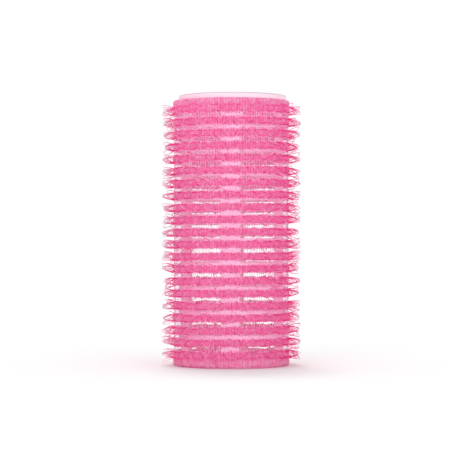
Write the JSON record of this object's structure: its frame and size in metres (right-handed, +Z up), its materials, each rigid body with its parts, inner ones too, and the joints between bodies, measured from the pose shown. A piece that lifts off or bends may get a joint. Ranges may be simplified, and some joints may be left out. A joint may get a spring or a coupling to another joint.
{
  "type": "hair roller",
  "caption": "Self-gripping hair roller: an open plastic cage tube inside a gauze sleeve that carries rows of fine nylon hooks, for winding and holding a lock of hair.",
  "frame": {"origin": "on the roller's axis, at its lower end: the middle of the circle that the core stands on", "axes": "+Z up along the roller's axis; -Y towards the viewer; the weld seam runs along the roller at its back, 2 degrees from +Y towards +X, over the core's back bar"},
  "size_m": [0.0326, 0.0325, 0.0633],
  "materials": {
    "core_plastic": "satin injection-moulded polypropylene, pale pink",
    "gauze": "thin warp-knitted nylon gauze, pink, see-through between the courses",
    "welded_gauze": "gauze ends melted together, darker pink, slightly glossy",
    "hook_nylon": "translucent pink nylon monofilament hooks, paler at the tips"
  },
  "bodies": {
    "root": {"core": "core_plastic", "gauze_sleeve": "gauze", "weld_seam": "welded_gauze", "hook_row_01": "hook_nylon", "hook_row_02": "hook_nylon", "hook_row_03": "hook_nylon", "hook_row_04": "hook_nylon", "hook_row_05": "hook_nylon", "hook_row_06": "hook_nylon", "hook_row_07": "hook_nylon", "hook_row_08": "hook_nylon", "hook_row_09": "hook_nylon", "hook_row_10": "hook_nylon", "hook_row_11": "hook_nylon", "hook_row_12": "hook_nylon", "hook_row_13": "hook_nylon", "hook_row_14": "hook_nylon", "hook_row_15": "hook_nylon", "hook_row_16": "hook_nylon", "hook_row_17": "hook_nylon", "hook_row_18": "hook_nylon", "hook_row_19": "hook_nylon", "hook_row_20": "hook_nylon", "hook_row_21": "hook_nylon"}
  },
  "joints": []
}
